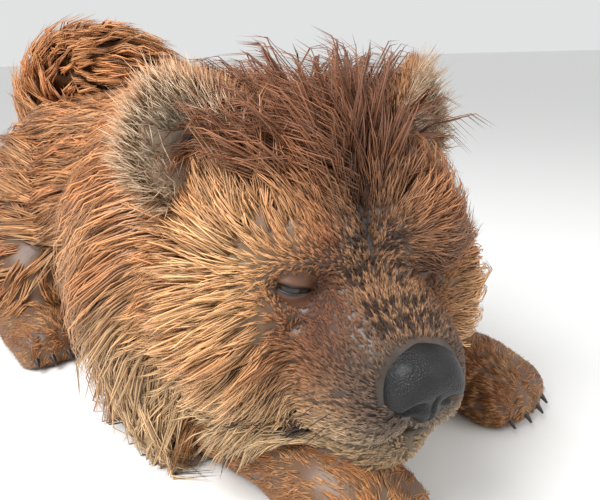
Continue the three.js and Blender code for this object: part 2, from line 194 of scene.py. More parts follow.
def near(p, low, high, field):
    """The field where p is in the box, and far outside elsewhere, to save work."""
    out = np.full(len(p), FAR_OUTSIDE)
    inside = np.all((p > np.array(low)) & (p < np.array(high)), axis=1)
    if inside.any():
        out[inside] = field(p[inside])
    return out


def head_local(q):
    """The head: brain case, brows, cheeks, muzzle, lips and throat. Its dents are bells added to the field,
    a depth times exp of minus the squared distances: sockets, furrow, lips, their seam and a fold."""
    m = mirrored(q)
    x, y, z = m.T
    d = blend(
        BLEND_FACE,
        ball(q, -40, 0, 12, 84, 84, 64),
        ball(m, 4, 28, 18, 42, 36, 38),
        ball(m, -24, 60, -34, 66, 50, 60),
        ball(q, 45, 0, -46, 57, 47, 37),
        taper(m, (26, 15, -16), (79, 10, -34), 29, 24),
        ball(m, 58, 23, -64, 38, 25, 27),
        ball(q, -30, 0, -76, 78, 84, 56),
        ball(q, 44, 0, -94, 48, 28, 16),
        ball(q, 8, 0, -92, 48, 44, 22),
    )
    socket = 12 * np.exp(-((x - 40) ** 2 + (y - 44) ** 2 * 0.6 + (z - 1) ** 2 * 1.7) / 225)
    furrow = 5 * np.exp(-((y / 8) ** 2) - ((z - 40) / 24) ** 2) * step(-8, 8, x)
    lip = 4.5 * np.exp(-(((z - mouth_height(x)) / 2.6) ** 2)) * step(8, 26, x)
    seam = 3.5 * np.exp(-((y / 2.2) ** 2)) * step(84, 96, x) * step(-52, -58, z)
    fold_z = z + 19 + 0.3 * (y - 44)
    fold = 3.4 * np.exp(-((fold_z / 3.2) ** 2) - ((y - 44) / 17) ** 2 - ((x - 34) / 20) ** 2)
    return d + socket + furrow + lip + seam + fold


def mouth_height(x):
    """The mouth's line in the head's frame: low at its corner and level under the nose."""
    return -78 - 13 * step(96, 14, x)


def torso(p):
    """The chest, the belly and the rump, run together."""
    return blend(
        BLEND_BODY,
        ball(p, 12, 0, 125, 126, 108, 132),
        ball(p, -95, 0, 122, 155, 112, 124),
        ball(p, -195, 0, 116, 118, 104, 112),
        ball(p, -262, 0, 114, 98, 112, 116),
    )


def neck(p):
    """The neck, leaning to the right with the head."""
    return blend(BLEND_BODY, ball(p, 66, -5, 138, 96, 114, 118), ball(p, 128, -30, 118, 84, 128, 114))


def forward(s):
    """How much further forward a foreleg lies, in mm: the right one more than the left."""
    return NEAR_REACH if s < 0 else 0.0


def foreleg(p, s):
    """One forearm and paw lying forward; s is -1 for the right and 1 for the left."""
    x = FOREPAW_X + forward(s)
    toes = []
    for y in FORE_TOES:
        toes.append(ball(p, x + FORE_TOE_REACH - abs(y) * TOE_BACK, s * LEG_Y + y, 18, 24, 12, 21))
    paw = blend(4, ball(p, x, s * LEG_Y, 26, 50, 38, 31), *toes)
    arm = blend(
        10,
        ball(p, 52, s * 92, 108, 60, 42, 90),
        taper(p, (66, s * (LEG_Y + 6), 34), (222 + forward(s), s * LEG_Y, FOREARM_Z - 2), 40, 32),
    )
    return blend(5, arm, paw)


def hindleg(p):
    """The folded thigh, hock and hind paw of either side."""
    m = mirrored(p)
    toes = [ball(m, HIND_TOE_X - abs(y) * TOE_BACK, HINDPAW_Y + y, 17, 22, 11, 20) for y in HIND_TOES]
    thigh = blend(
        14,
        ball(m, -228, 104, 97, 104, 54, 100),
        taper(m, (-150, 126, 66), (-282, 122, 44), 50, 38),
    )
    shank = taper(m, (-270, 140, 26), (-150, HINDPAW_Y, 27), 27, 30)
    foot = blend(4, shank, ball(m, -112, HINDPAW_Y, 25, 46, 35, 30), *toes)
    return blend(6, thigh, foot)


# Marks along the middle of the curled tail, from its root to its tip, and the number of points between
TAIL_MARKS = np.array(
    [
        (-318, 0, 182),
        (-352, 2, 230),
        (-340, 10, 270),
        (-286, 24, 288),
        (-230, 44, 280),
        (-196, 74, 254),
        (-200, 98, 222),
    ],
    float,
)
TAIL_COUNT = 29


def tail_line(count):
    """Points along the curled tail: a smooth curve of cubic pieces through its marks."""
    marks = np.vstack([2 * TAIL_MARKS[0] - TAIL_MARKS[1], TAIL_MARKS, 2 * TAIL_MARKS[-1] - TAIL_MARKS[-2]])
    t = np.linspace(0, len(TAIL_MARKS) - 1, count)
    i = np.minimum(t.astype(int), len(TAIL_MARKS) - 2)
    u = (t - i)[:, None]
    a, b, c, d = marks[i], marks[i + 1], marks[i + 2], marks[i + 3]
    return 0.5 * (2 * b + (c - a) * u + (2 * a - 5 * b + 4 * c - d) * u**2 + (3 * b - a - 3 * c + d) * u**3)


TAIL_POINTS = tail_line(TAIL_COUNT)
TAIL_RUN = unit(np.gradient(TAIL_POINTS, axis=0))
TAIL_ALONG = np.linspace(0, 1, TAIL_COUNT)
TAIL_RADII = TAIL_CORE * (0.8 + 0.5 * np.sin(np.pi * np.minimum(1, TAIL_ALONG * 0.9 + 0.1)))


def tail(p):
    """The tail: the least distance to a ball at any of its points."""
    d = np.linalg.norm(p[:, None, :] - TAIL_POINTS[None], axis=2) - TAIL_RADII[None]
    return d.min(axis=1)


PARTS = ("head", "neck", "torso", "foreleg", "hindleg", "tail")


def among(kind, *parts):
    """True where a number of kind stands for one of the parts named."""
    return np.isin(kind, [PARTS.index(part) for part in parts])


def part_fields(p):
    """How far each point is from each part of the body, one column a part."""
    return np.stack(
        [
            near(p, (110, -190, -5), (400, 80, 300), lambda a: head_local(to_head(a))),
            near(p, (-60, -190, -5), (250, 140, 310), neck),
            near(p, (-400, -160, -5), (170, 160, 320), torso),
            np.minimum(
                near(p, (-30, -160, -5), (360, -30, 240), lambda a: foreleg(a, -1)),
                near(p, (-30, 30, -5), (340, 160, 240), lambda a: foreleg(a, 1)),
            ),
            near(p, (-360, -200, -5), (-20, 200, 240), hindleg),
            near(p, (-420, -60, 120), (-130, 160, 360), tail),
        ],
        axis=1,
    )


def free_field(p):
    """All parts run together."""
    return blend(6, *part_fields(p).T)


def skin_field(p):
    """All parts run together, and cut off at the floor."""
    return np.maximum(free_field(p), -p[:, 2])


def slope(field, p, e=0.7):
    """The direction in which the field grows, by differences."""
    g = np.empty_like(p)
    for axis in range(3):
        shift = np.zeros(3)
        shift[axis] = e
        g[:, axis] = (field(p + shift) - field(p - shift)) / (2 * e)
    return g


def settle(field, p, rounds=3):
    """Moves points along the slope onto the surface: the field over the squared slope, times the slope."""
    p = p.copy()
    for _ in range(rounds):
        g = slope(field, p)
        d = field(p) / np.maximum((g * g).sum(1), 0.05)
        p -= np.clip(d, -LONGEST_MOVE, LONGEST_MOVE)[:, None] * g
    return p


def surface_net(field, xs, ys, zs):
    """One corner for each grid cell that the surface passes through, at the middle of the crossings of
    its edges, and one four-sided face for each grid edge that the surface crosses."""
    grid = np.stack(np.meshgrid(xs, ys, zs, indexing="ij"), -1)
    shape = grid.shape[:3]
    value = field(grid.reshape(-1, 3)).reshape(shape)
    inside = value < 0
    cells = tuple(n - 1 for n in shape)
    total = np.zeros(cells + (3,))
    hits = np.zeros(cells)
    corner = lambda a, o: a[o[0] : o[0] + cells[0], o[1] : o[1] + cells[1], o[2] : o[2] + cells[2]]
    for axis in range(3):
        for u in (0, 1):
            for v in (0, 1):
                o = [u, v]
                o.insert(axis, 0)
                e = list(o)
                e[axis] = 1
                d0, d1 = corner(value, o), corner(value, e)
                hit = (d0 < 0) != (d1 < 0)
                t = np.where(hit, d0 / np.where(hit, d0 - d1, 1), 0)[..., None]
                point = corner(grid, o) * (1 - t) + corner(grid, e) * t
                total += np.where(hit[..., None], point, 0)
                hits += hit
    active = hits > 0
    ids = np.full(cells, -1)
    ids[active] = np.arange(active.sum())
    points = total[active] / hits[active][:, None]
    faces = []
    for axis in range(3):
        a, b = [i for i in range(3) if i != axis]
        lo = [slice(1, -1)] * 3
        hi = [slice(1, -1)] * 3
        lo[axis], hi[axis] = slice(0, -1), slice(1, None)
        first, second = inside[tuple(lo)], inside[tuple(hi)]
        for sign, hit in ((1, first & ~second), (-1, ~first & second)):
            at = np.argwhere(hit)
            at[:, a] += 1
            at[:, b] += 1
            ring = []
            for da, db in ((-1, -1), (0, -1), (0, 0), (-1, 0)):
                cell = at.copy()
                cell[:, a] += da
                cell[:, b] += db
                ring.append(ids[cell[:, 0], cell[:, 1], cell[:, 2]])
            quad = np.stack(ring, 1)
            flip = sign * (1 if axis != 1 else -1)
            faces.append(quad if flip > 0 else quad[:, ::-1])
    return points, np.vstack(faces)


# Meshes
def make_mesh(name, points_mm, faces, smooth=True):
    """A mesh object from arrays: points in mm and faces of three or four corners."""
    mesh = bpy.data.meshes.new(name)
    faces = np.asarray(faces, np.int32)
    sides = faces.shape[1]
    mesh.vertices.add(len(points_mm))
    mesh.vertices.foreach_set("co", (np.asarray(points_mm) * MM).astype(np.float32).ravel())
    mesh.loops.add(faces.size)
    mesh.loops.foreach_set("vertex_index", faces.ravel())
    mesh.polygons.add(len(faces))
    mesh.polygons.foreach_set("loop_start", np.arange(len(faces), dtype=np.int32) * sides)
    mesh.polygons.foreach_set("use_smooth", np.full(len(faces), smooth))
    mesh.update(calc_edges=True)
    mesh.validate()
    obj = bpy.data.objects.new(name, mesh)
    bpy.context.scene.collection.objects.link(obj)
    return obj


def paint(obj, colour, material):
    """Stores a linear colour for each corner point, and gives the piece its material."""
    data = np.ones((len(colour), 4), np.float32)
    data[:, :3] = colour
    layer = obj.data.color_attributes.new(FUR, "FLOAT_COLOR", "POINT")
    layer.data.foreach_set("color", data.ravel())
    obj.data.materials.append(material)


def ring_quads(rows, sides, closed=False):
    """Four-sided faces between each ring of points and the next, and round to the first if closed."""
    at = np.arange(rows if closed else rows - 1)[:, None]
    i, above = at * sides, (at + 1) % rows * sides
    j = np.arange(sides)[None]
    k = (j + 1) % sides
    return np.stack([i + j, i + k, above + k, above + j], -1).reshape(-1, 4)


def capped(rows, sides):
    """Triangles of a closed round form: its rings, then a single point at each end."""
    quads = ring_quads(rows, sides)
    j = np.arange(sides)
    k = (j + 1) % sides
    base = (rows - 1) * sides
    first = np.stack([np.full(sides, rows * sides), k, j], 1)
    last = np.stack([np.full(sides, rows * sides + 1), base + j, base + k], 1)
    return np.concatenate([quads[:, [0, 1, 2]], quads[:, [0, 2, 3]], first, last])


def copies(faces, count, points_each):
    """The same faces for each of many equal forms, whose points follow each other."""
    return (faces[None] + (np.arange(count) * points_each)[:, None, None]).reshape(-1, faces.shape[1])


def round_grid(rows, sides):
    """The two angles of each point of a ball: its rings row by row, then its two ends."""
    polar = np.arange(1, rows + 1) / (rows + 1) * math.pi
    angle = np.arange(sides) / sides * 2 * math.pi
    polar = np.concatenate([np.repeat(polar, sides), [0.0, math.pi]])
    return polar, np.concatenate([np.tile(angle, rows), [0.0, 0.0]])


def on_ball(polar, angle):
    """Across, front and up of a place on a ball of radius 1, with polar counted from its lowest point."""
    return np.sin(polar) * np.cos(angle), np.sin(polar) * np.sin(angle), -np.cos(polar)


def belongs(obj, slot, *nodes):
    """Puts a piece on the body and hides the solids that it stands for; slot is not used."""
    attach(obj, "root")
    if nodes:
        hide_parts(*nodes)
    return obj


# The coat
CROWN, CROWN_TIP = lin(146, 90, 54), lin(92, 54, 34)
RUST, STRAW, PALE = lin(184, 116, 66), lin(230, 182, 128), lin(206, 178, 138)
MUZZLE, MUZZLE_FRONT, CHIN = lin(120, 76, 54), lin(96, 78, 68), lin(150, 136, 122)
BRIDGE_TAN, BRIDGE_DOT = lin(166, 124, 88), lin(52, 32, 22)
LEG, SHADOW, PINK = lin(170, 104, 56), lin(70, 40, 24), lin(214, 150, 140)
EYE_RING, LIP = lin(84, 50, 30), lin(48, 32, 30)
BARE_SPOT = np.array([30.0, -19.0, 33.0])


def markings(p):
    """The coat's colour at each place of the skin, with a painted shadow in the furrow of the brow: the
    same for the skin and for the hair on it.
    """
    q = to_head(p)
    m = mirrored(q)
    x, y, z = m.T
    f = part_fields(p)
    kind = f.argmin(1)
    broad = wander(p, 26, 0.7)
    fine = wander(p, 9, 2.0)
    high = step(40, 230, p[:, 2])
    body = mix(PALE, RUST, np.clip(high + 0.25 * broad, 0, 1))
    body = mix(body, STRAW, np.clip(0.35 + 0.35 * fine, 0, 1) * 0.5)
    leg = mix(LEG, STRAW, np.clip(0.3 + 0.3 * fine, 0, 1))
    rusty = 0.38 + 0.45 * broad + 0.25 * fine + 0.35 * step(-10, 40, z)
    cheek = mix(STRAW, RUST, np.clip(rusty, 0, 1))
    cheek = mix(cheek, PALE, step(-30, -100, z) * 0.8)
    head = mix(cheek, CROWN, step(22, 54, z - 0.2 * y))
    face = step(78, 40, np.linalg.norm((q - np.array([70, 0, -20])) * np.array([0.55, 1, 0.9]), axis=1))
    muzzle = mix(MUZZLE, MUZZLE_FRONT, step(60, 104, x))
    muzzle = mix(muzzle, CHIN, step(-52, -72, z) * step(40, 80, x))
    head = mix(head, muzzle, face * 0.92)
    bridge = face * step(32, 14, y) * step(-40, -22, z) * step(24, 40, x) * step(104, 84, x)
    dots = step(0.05, 0.32, wander(q, 1.75, 0.4) + 0.45 * wander(q, 3.9, 1.0))
    head = mix(head, mix(BRIDGE_TAN, BRIDGE_DOT, dots), bridge * 0.9)
    bent = q[:, 1] + 5 * wander(q, 14, 0.3)
    furrow = np.exp(-((bent / 8) ** 2)) * step(14, 30, z) * step(70, 44, z) * step(-10, 12, x)
    head = mix(head, SHADOW, furrow * 0.75)
    eye = np.linalg.norm((m - EYE_AT) * np.array([0.7, 1, 1.25]), axis=1)
    head = mix(head, EYE_RING, step(20, 12, eye) * 0.6)
    head = mix(head, PINK, step(6.0, 3.6, np.linalg.norm(q - BARE_SPOT, axis=1)))
    lip = np.abs(z - mouth_height(x)) + 0.3 * np.maximum(0, 14 - x)
    head = mix(head, LIP, step(4.2, 1.8, lip) * step(4, 16, x))
    out = mix(head, body, among(kind, "neck", "torso", "tail"))
    out = mix(out, leg, among(kind, "foreleg", "hindleg"))
    blend_neck = step(-6, 10, f[:, 1] - f[:, 0])
    return np.where(among(kind, "head", "neck")[:, None], mix(body, head, blend_neck), out)


def head_rule(q):
    """Lie, length and rise of the head's hair, and how far each place belongs to the crown."""
    s = np.sign(q[:, 1] + 1e-6)
    m = mirrored(q)
    x, y, z = m.T
    to_axis = taper(q, *MUZZLE_AXIS, 0, 0)
    length = mix(6.0, 46.0, step(44, 92, to_axis))
    length = length * mix(0.3, 1.0, step(14, 44, np.linalg.norm(m - EYE_AT, axis=1)))
    crown = step(34, 64, z)
    length = mix(length, 58.0, crown)
    length = mix(length, 40.0 * step(84, 30, x) + 7, step(-66, -86, z))
    rise = mix(mix(0.06, 0.3, step(8, 34, length)), 0.78, crown)
    rise = rise * mix(1.0, 0.55 + 0.75 * rng.random(len(q)), step(10, 30, length))
    left_brow = step(18, 30, y) * step(74, 56, y) * step(-8, 10, z) * (s > 0) * step(-20, 0, x)
    length = mix(length, 34.0, left_brow)
    rise = mix(rise, 0.5, left_brow)
    high = step(-10, 46, z)
    cheek, brow = columns(-0.75, s * 0.42, -0.5), columns(-0.5, s * 0.42, 0.62)
    face = columns(-1.0, s * 0.35, 0.08)
    lie = mix(mix(cheek, brow, high), face, step(70, 44, to_axis) * (1 - high))
    return lie @ HEAD_ROT.T, length, rise, crown


def coat_rule(p, n):
    """Lie, length, rise, width and spread of the hair at each place of the skin, by part and region."""
    q = to_head(p)
    x, y, z = p.T
    kind = part_fields(p).argmin(1)
    side = np.sign(y + 1e-6)
    steep = 1 - n[:, 2]
    head_lie, head_length, head_rise, crown = head_rule(q)
    full = step(6, 40, head_length)
    apron = step(-50, -96, y) * step(150, 96, z) * step(20, 70, x) * step(210, 160, x)
    apron = apron * among(kind, "neck", "foreleg")
    paw = (among(kind, "foreleg") & (x > 226)) | (among(kind, "hindleg") & (z < 54))
    beside = np.linalg.norm(p[:, None] - TAIL_POINTS[None], axis=2).argmin(1)
    # Lie, length, rise, width and spread, one row for each of the PARTS
    table = [
        (head_lie, head_length, head_rise, mix(0.62, 1.3, full), mix(1.8, 5.8, full)),
        (columns(-0.72, 0.3 * np.sign(y + 14), -0.25 - 0.55 * steep), 78.0, 0.3, 2.1, 9.0),
        (columns(-0.82, 0.12 * side, -0.12 - 0.5 * steep), 76.0, 0.22, 3.0, 11.0),
        (np.array([-0.75, 0, -0.4]), mix(15.0, 48.0, step(160, 110, x)), 0.16, 2.0, 6.0),
        (np.array([-0.75, 0, -0.45]), mix(14.0, 54.0, step(50, 96, z)), 0.12, 2.6, 8.0),
        (TAIL_RUN[beside], 56.0, 0.42, 2.8, 8.0),
    ]
    rule = {"kind": kind, "q": q}
    # The column of each in the table, its value on the paws and its value on the chest's right side
    for name, column, on_paw, on_apron in (
        ("length", 1, 11.0, 84.0),
        ("rise", 2, 0.1, 0.3),
        ("width", 3, 1.2, 1.9),
        ("spread", 4, 4.0, 8.0),
    ):
        value = np.choose(kind, [row[column] for row in table])
        rule[name] = mix(mix(value, on_paw, paw), on_apron, apron)
    lie = np.choose(kind[:, None], [row[0] for row in table])
    lie = mix(lie, np.array([0.2, -0.3, -0.95]), apron)
    swirl = columns(wander(p, 34, 0.2), wander(p, 31, 1.9), wander(p, 29, 3.3))
    stray = mix(0.07, 0.24, crown * among(kind, "head"))
    lie = lie + 0.5 * swirl + stray[:, None] * rng.normal(size=p.shape)
    rule["lie"] = along_skin(lie, n)
    return rule


def spread_roots(points, quads, weight, count):
    """Random places on the skin: the chance of a face is its area times its weight."""
    a, b, c, d = (points[quads[:, k]] for k in range(4))
    area = 0.5 * np.linalg.norm(np.cross(c - a, d - b), axis=1)
    share = area * weight
    pick = np.searchsorted(np.cumsum(share) / share.sum(), rng.random(count))
    pick = np.minimum(pick, len(quads) - 1)
    u, v = rng.random((count, 1)), rng.random((count, 1))
    return (a[pick] * (1 - u) + b[pick] * u) * (1 - v) + (d[pick] * (1 - u) + c[pick] * u) * v


# Steps of a strand of long hair, of short hair and of down
STEPS = 3
SHORT_STEPS = 2
DOWN_STEPS = 1
# The most triangles of one piece of coat
PIECE_TRIANGLES = 190000
# How far a clump's strands are drawn together at its tip, and how far they wander, by its spread
GATHER = 0.93
LOOSENESS = 0.16


def flow(p, n, rule, steps):
    """The middle line of each clump: steps along the lie, each put back on the skin, then raised. It is
    sunk at the root and rises as a quarter sine to its tip."""
    foot, lie = p.copy(), rule["lie"].copy()
    out = [foot - n * (0.3 if steps == DOWN_STEPS else 2.0)]
    reach = rule["length"] * np.sqrt(np.clip(1 - rule["rise"] ** 2, 0.2, 1))
    for k in range(1, steps + 1):
        foot = settle(free_field, foot + lie * (reach / steps)[:, None], 1)
        up = unit(slope(free_field, foot))
        lie = along_skin(lie, up)
        t = k / steps
        height = rule["length"] * rule["rise"] * (math.sin(math.pi / 2 * t) - 0.12 * t * t) + 1.0
        point = foot + up * height[:, None]
        point[:, 2] = np.maximum(point[:, 2], 1.2)
        out.append(point)
    return np.stack(out, 1)


def strands(path, up, spread, width, each):
    """Several strands for each clump: spread about its root, drawn together and wandering to its tip."""
    count, steps = len(path), path.shape[1] - 1
    run = unit(path[:, 1] - path[:, 0])
    side = unit(np.cross(run, up))
    top = np.cross(side, run)
    angle = rng.random((count, each)) * 2 * math.pi
    radius = np.sqrt(rng.random((count, each))) * spread[:, None]
    across, deep = np.cos(angle) * radius, np.sin(angle) * radius * 0.55
    back = (rng.random((count, each)) - 0.5) * spread[:, None] * 1.2
    size = 0.72 + 0.5 * rng.random((count, each))
    lines = []
    for k in range(steps + 1):
        t = k / steps
        close = 1 - GATHER * t**0.8
        loose = t * spread[:, None] * LOOSENESS
        u = across * close + loose * rng.normal(size=across.shape)
        v = deep * close * (1 if k else 0.0) + loose * 0.6 * rng.normal(size=across.shape)
        base = path[:, 0][:, None] + (path[:, k] - path[:, 0])[:, None] * size[..., None]
        point = base + side[:, None] * u[..., None] + top[:, None] * v[..., None]
        lines.append(point + run[:, None] * (back * (1 - t))[..., None])
    lines = np.stack(lines, 2).reshape(-1, steps + 1, 3)
    widths = (width[:, None] * (0.7 + 0.6 * rng.random((count, each)))).ravel()
    return lines, np.repeat(up, each, axis=0), widths


def skin_uv(p, kind):
    """A root's place on an unwrap of the skin: each part is a tube, unrolled by angle and length."""
    q = to_head(p)
    around = np.choose(
        kind,
        [
            np.arctan2(q[:, 1], q[:, 2] + 20),
            np.arctan2(p[:, 1], p[:, 2] - 140),
            np.arctan2(p[:, 1], p[:, 2] - 130),
            np.arctan2(np.abs(p[:, 1]) - LEG_Y, p[:, 2] - 40),
            np.arctan2(np.abs(p[:, 1]) - 110, p[:, 2] - 60),
            np.arctan2(p[:, 1], p[:, 2] - 270),
        ],
    )
    along = np.where(kind == 0, (q[:, 0] + 130) / 260, (p[:, 0] + 400) / 800)
    mirror = (kind >= 3) & (p[:, 1] > 0)
    tile = kind + np.where(mirror, 3, 0)
    col, row = tile % 3, tile // 3
    u = (col + 0.04 + 0.9 * (around / (2 * math.pi) + 0.5)) / 3
    v = (row + 0.04 + 0.9 * np.clip(along, 0, 1)) / 3
    return np.stack([u, v], 1)


def make_strands(name, lines, up, widths, root, tip, spots):
    """Closed, three-sided, tapering strands along lines: a ring of three at each point but the last, which
    is the tip. root and tip are their colours, and spots their places on the unwrap."""
    count = len(lines)
    rows = lines.shape[1] - 1
    each = rows * 3 + 1
    points, colours = np.empty((count, each, 3)), np.empty((count, each, 3))
    inner = np.empty((each, 2))
    for k in range(rows):
        run = unit(lines[:, min(k + 1, rows)] - lines[:, max(k - 1, 0)])
        side = unit(np.cross(run, up))
        top = np.cross(side, run)
        t = k / rows
        half = widths * 0.5 * (1 - 0.5 * t**1.5)
        for j in range(3):
            a = math.pi / 2 + j * 2 * math.pi / 3
            offset = side * (math.cos(a) * half)[:, None] + top * (math.sin(a) * half * 0.6)[:, None]
            points[:, 3 * k + j] = lines[:, k] + offset
            # Each ring's colour runs from near the darker root colour, painted shade deep in the coat, to
            # the tip colour
            colours[:, 3 * k + j] = root + (tip - root) * (0.25 + 0.75 * t)
            inner[3 * k + j] = (j / 2, t)
    points[:, -1], colours[:, -1], inner[-1] = lines[:, -1], tip, (0.5, 1)
    points[..., 2] = np.maximum(points[..., 2], 0.4)
    tris = [(0, 2, 1)]
    for k in range(rows - 1):
        for j in range(3):
            a, b = 3 * k + j, 3 * k + (j + 1) % 3
            tris += [(a, b, b + 3), (a, b + 3, a + 3)]
    last = 3 * (rows - 1)
    tris += [(last + j, last + (j + 1) % 3, 3 * rows) for j in range(3)]
    faces = copies(np.array(tris), count, each)
    obj = make_mesh(name, points.reshape(-1, 3), faces)
    paint(obj, colours.reshape(-1, 3), coat_material())
    layer = obj.data.uv_layers.new(name="OFBake")
    uv = spots[:, None] + inner[None] * 0.003
    layer.data.foreach_set("uv", uv.reshape(-1, 2)[faces.ravel()].astype(np.float32).ravel())
    return belongs(obj, "wet_coat")


# Ears, eyes, lids, nose, claws and whiskers
def ear_axes(s):
    """Where an ear stands in the head's frame: its middle, across, front and up."""
    up = np.array([-0.16, s * 0.42, 0.9])
    up /= np.linalg.norm(up)
    front = np.array([0.86, s * 0.5, 0.0])
    front -= up * (front @ up)
    front /= np.linalg.norm(front)
    across = np.cross(up, front)
    return np.array([-44.0, s * EAR_SPACING / 2, 62.0]), across, front, up


def ear_point(s, polar, angle):
    """The ear: a thick leaf, narrower at its top, bent back at its rims, with a cup in its front."""
    at, across, front, up = ear_axes(s)
    x, z, v = on_ball(polar, angle)
    narrow = 1 - 0.26 * np.maximum(0, v) ** 2
    u = x * EAR_WIDTH / 2 * narrow * 0.97
    share = np.hypot(x, 0.75 * v)
    f = z * 9.4 + 13 * x * x - 6
    f = f - np.where(z > 0, 13 * np.maximum(0, 1 - 1.7 * share**2), 0) * step(0, 0.3, z)
    hole = np.exp(-((u / 13) ** 2) - (((v * EAR_HEIGHT / 2) + 22) / 13) ** 2)
    f = f - np.where(z > 0, 5 * hole, 0)
    height = v * EAR_HEIGHT / 2 * 0.97 + 8
    return from_head(at + u[:, None] * across + f[:, None] * front + height[:, None] * up)


def ear_colour(polar, angle, p):
    """Tan rim and back, whitish inside, and painted shade that darkens the hole in the middle of the cup.
    """
    x, z, v = on_ball(polar, angle)
    inner = np.where(z > 0, step(0.95, 0.7, np.hypot(x, v)), 0.0)
    out = mix(lin(168, 112, 68), lin(190, 150, 110), np.clip(0.5 + 0.5 * wander(p, 9), 0, 1))
    out = mix(out, lin(206, 184, 156), inner * 0.9)
    # Painted shade: the hole in the middle of the cup is darkened nearly to black
    dark = np.where(z > 0, np.exp(-((x / 0.4) ** 2) - ((v - 0.02) / 0.4) ** 2), 0)
    return mix(out, lin(30, 22, 18), np.clip(dark * 1.25, 0, 1))


# An ear's kinds of hair: how many strands, length and width in mm, and how far they are raised
EAR_HAIR = (
    ("back", 1800, 15, 1.2, 0.22),
    ("rim", 1900, 16, 1.2, 0.1),
    ("inside", 1500, 19, 0.9, 0.3),
)


def ear_hair(s, kind, count, length, width, rise):
    """One kind of an ear's hair: lines, normals, widths, colours of root and tip, places on the unwrap."""
    at, *axes = ear_axes(s)
    middle = from_head((at + 8 * axes[2])[None])[0]
    across, front, up = (axis @ HEAD_ROT.T for axis in axes)
    polar = np.arccos(1 - 2 * rng.random(count))
    # One draw is passed over, which keeps each later draw in its place
    rng.random(count)
    if kind == "back":
        angle = math.pi + rng.random(count) * math.pi
    elif kind == "rim":
        angle = np.where(rng.random(count) < 0.5, 0.0, math.pi) + rng.normal(size=count) * 0.34
    else:
        angle = 0.12 + rng.random(count) * (math.pi - 0.24)
    p = ear_point(s, polar, angle)
    e = 1e-3
    n = unit(np.cross(ear_point(s, polar + e, angle) - p, ear_point(s, polar, angle + e) - p))
    facing = (n @ front)[:, None]
    radial = unit(p - middle)
    stray = rng.normal(size=p.shape)
    if kind == "back":
        n = np.where(facing > 0, -n, n)
        lie = unit(radial * 0.6 + up * 0.6 + 0.2 * stray)
    elif kind == "rim":
        n = radial
        lie = unit(radial + 0.5 * up + 0.25 * stray)
    else:
        n = np.where(facing < 0, -n, n)
        lie = unit(up * 0.7 + radial * 0.35 + across * s * 0.1 + front * 0.15 + 0.3 * stray)
        over_hole = (np.abs(np.sin(polar) * np.cos(angle)) < 0.5) & (-np.cos(polar) < 0.3)
        p, n, lie, polar, angle = (a[~over_hole] for a in (p, n, lie, polar, angle))
    count = len(p)
    size = length * (0.6 + 0.7 * rng.random((count, 1)))
    lines = []
    for k in range(SHORT_STEPS + 1):
        t = k / SHORT_STEPS
        lines.append(p - n * 1.0 + lie * size * t + n * size * rise * math.sin(math.pi * 0.6 * t))
    base = ear_colour(polar, angle, p)
    if kind == "inside":
        base = mix(base, lin(226, 206, 178), 0.4)
    elif kind == "rim":
        base = mix(base, lin(176, 124, 80), 0.6)
    light = 0.7 + 0.6 * rng.random((count, 1))
    widths = width * (0.7 + 0.6 * rng.random(count))
    tile = (polar / math.pi + (0 if s < 0 else 1)) / 3 * 0.9 + 0.01
    spots = np.stack([tile, 0.68 + angle / 25], 1)
    # The roots are painted at 0.55 of the tips' colour: painted shade deep in the ear's hair
    return np.stack(lines, 1), n, widths, base * light * 0.55, base * light, spots


def make_ear(word, s, material):
    """One ear and the hair on its back, rim and inside."""
    rows, sides = 70, 120
    polar, angle = round_grid(rows, sides)
    points = ear_point(s, polar, angle)
    ear = make_mesh(f"ear_{word}", points, capped(rows, sides))
    paint(ear, ear_colour(polar, angle, points) * 0.7, material)
    belongs(ear, "ear", f"ear_{word}")
    hair = zip(*(ear_hair(s, *row) for row in EAR_HAIR))
    make_strands(f"ear_hair_{word}", *(np.concatenate(column) for column in hair))


def eye_axes(s):
    """The eye's own directions in the head's frame: out of the socket, across the slit and up."""
    out = np.array([0.82, s * 0.56, 0.05])
    out /= np.linalg.norm(out)
    up = np.array([0.0, 0.0, 1.0])
    across = np.cross(up, out)
    across /= np.linalg.norm(across)
    up = np.cross(out, across)
    return out, across, up


def make_eye(word, s, material):
    """One eyeball: a ball of small faces."""
    rows, sides = 40, 64
    polar, angle = round_grid(rows, sides)
    out, across, up = eye_axes(s)
    x, z, v = on_ball(polar, angle)
    direction = -v[:, None] * out + x[:, None] * across + z[:, None] * up
    centre = EYE_AT * np.array([1, s, 1])
    eye = make_mesh(f"eye_{word}", from_head(centre + direction * EYE_RADIUS), capped(rows, sides))
    iris, pupil = step(0.66, 0.62, polar), step(0.3, 0.24, polar)
    colour = mix(lin(62, 48, 42), lin(38, 20, 10), iris)
    paint(eye, mix(colour, lin(6, 5, 5), pupil), material)
    return belongs(eye, "eye", f"eye_{word}")


# Half the length of the slit of the eye, and half the length and height of the lids' rim, mm
SLIT_HALF = 11.0
RIM_HALF = (17.0, 12.5)


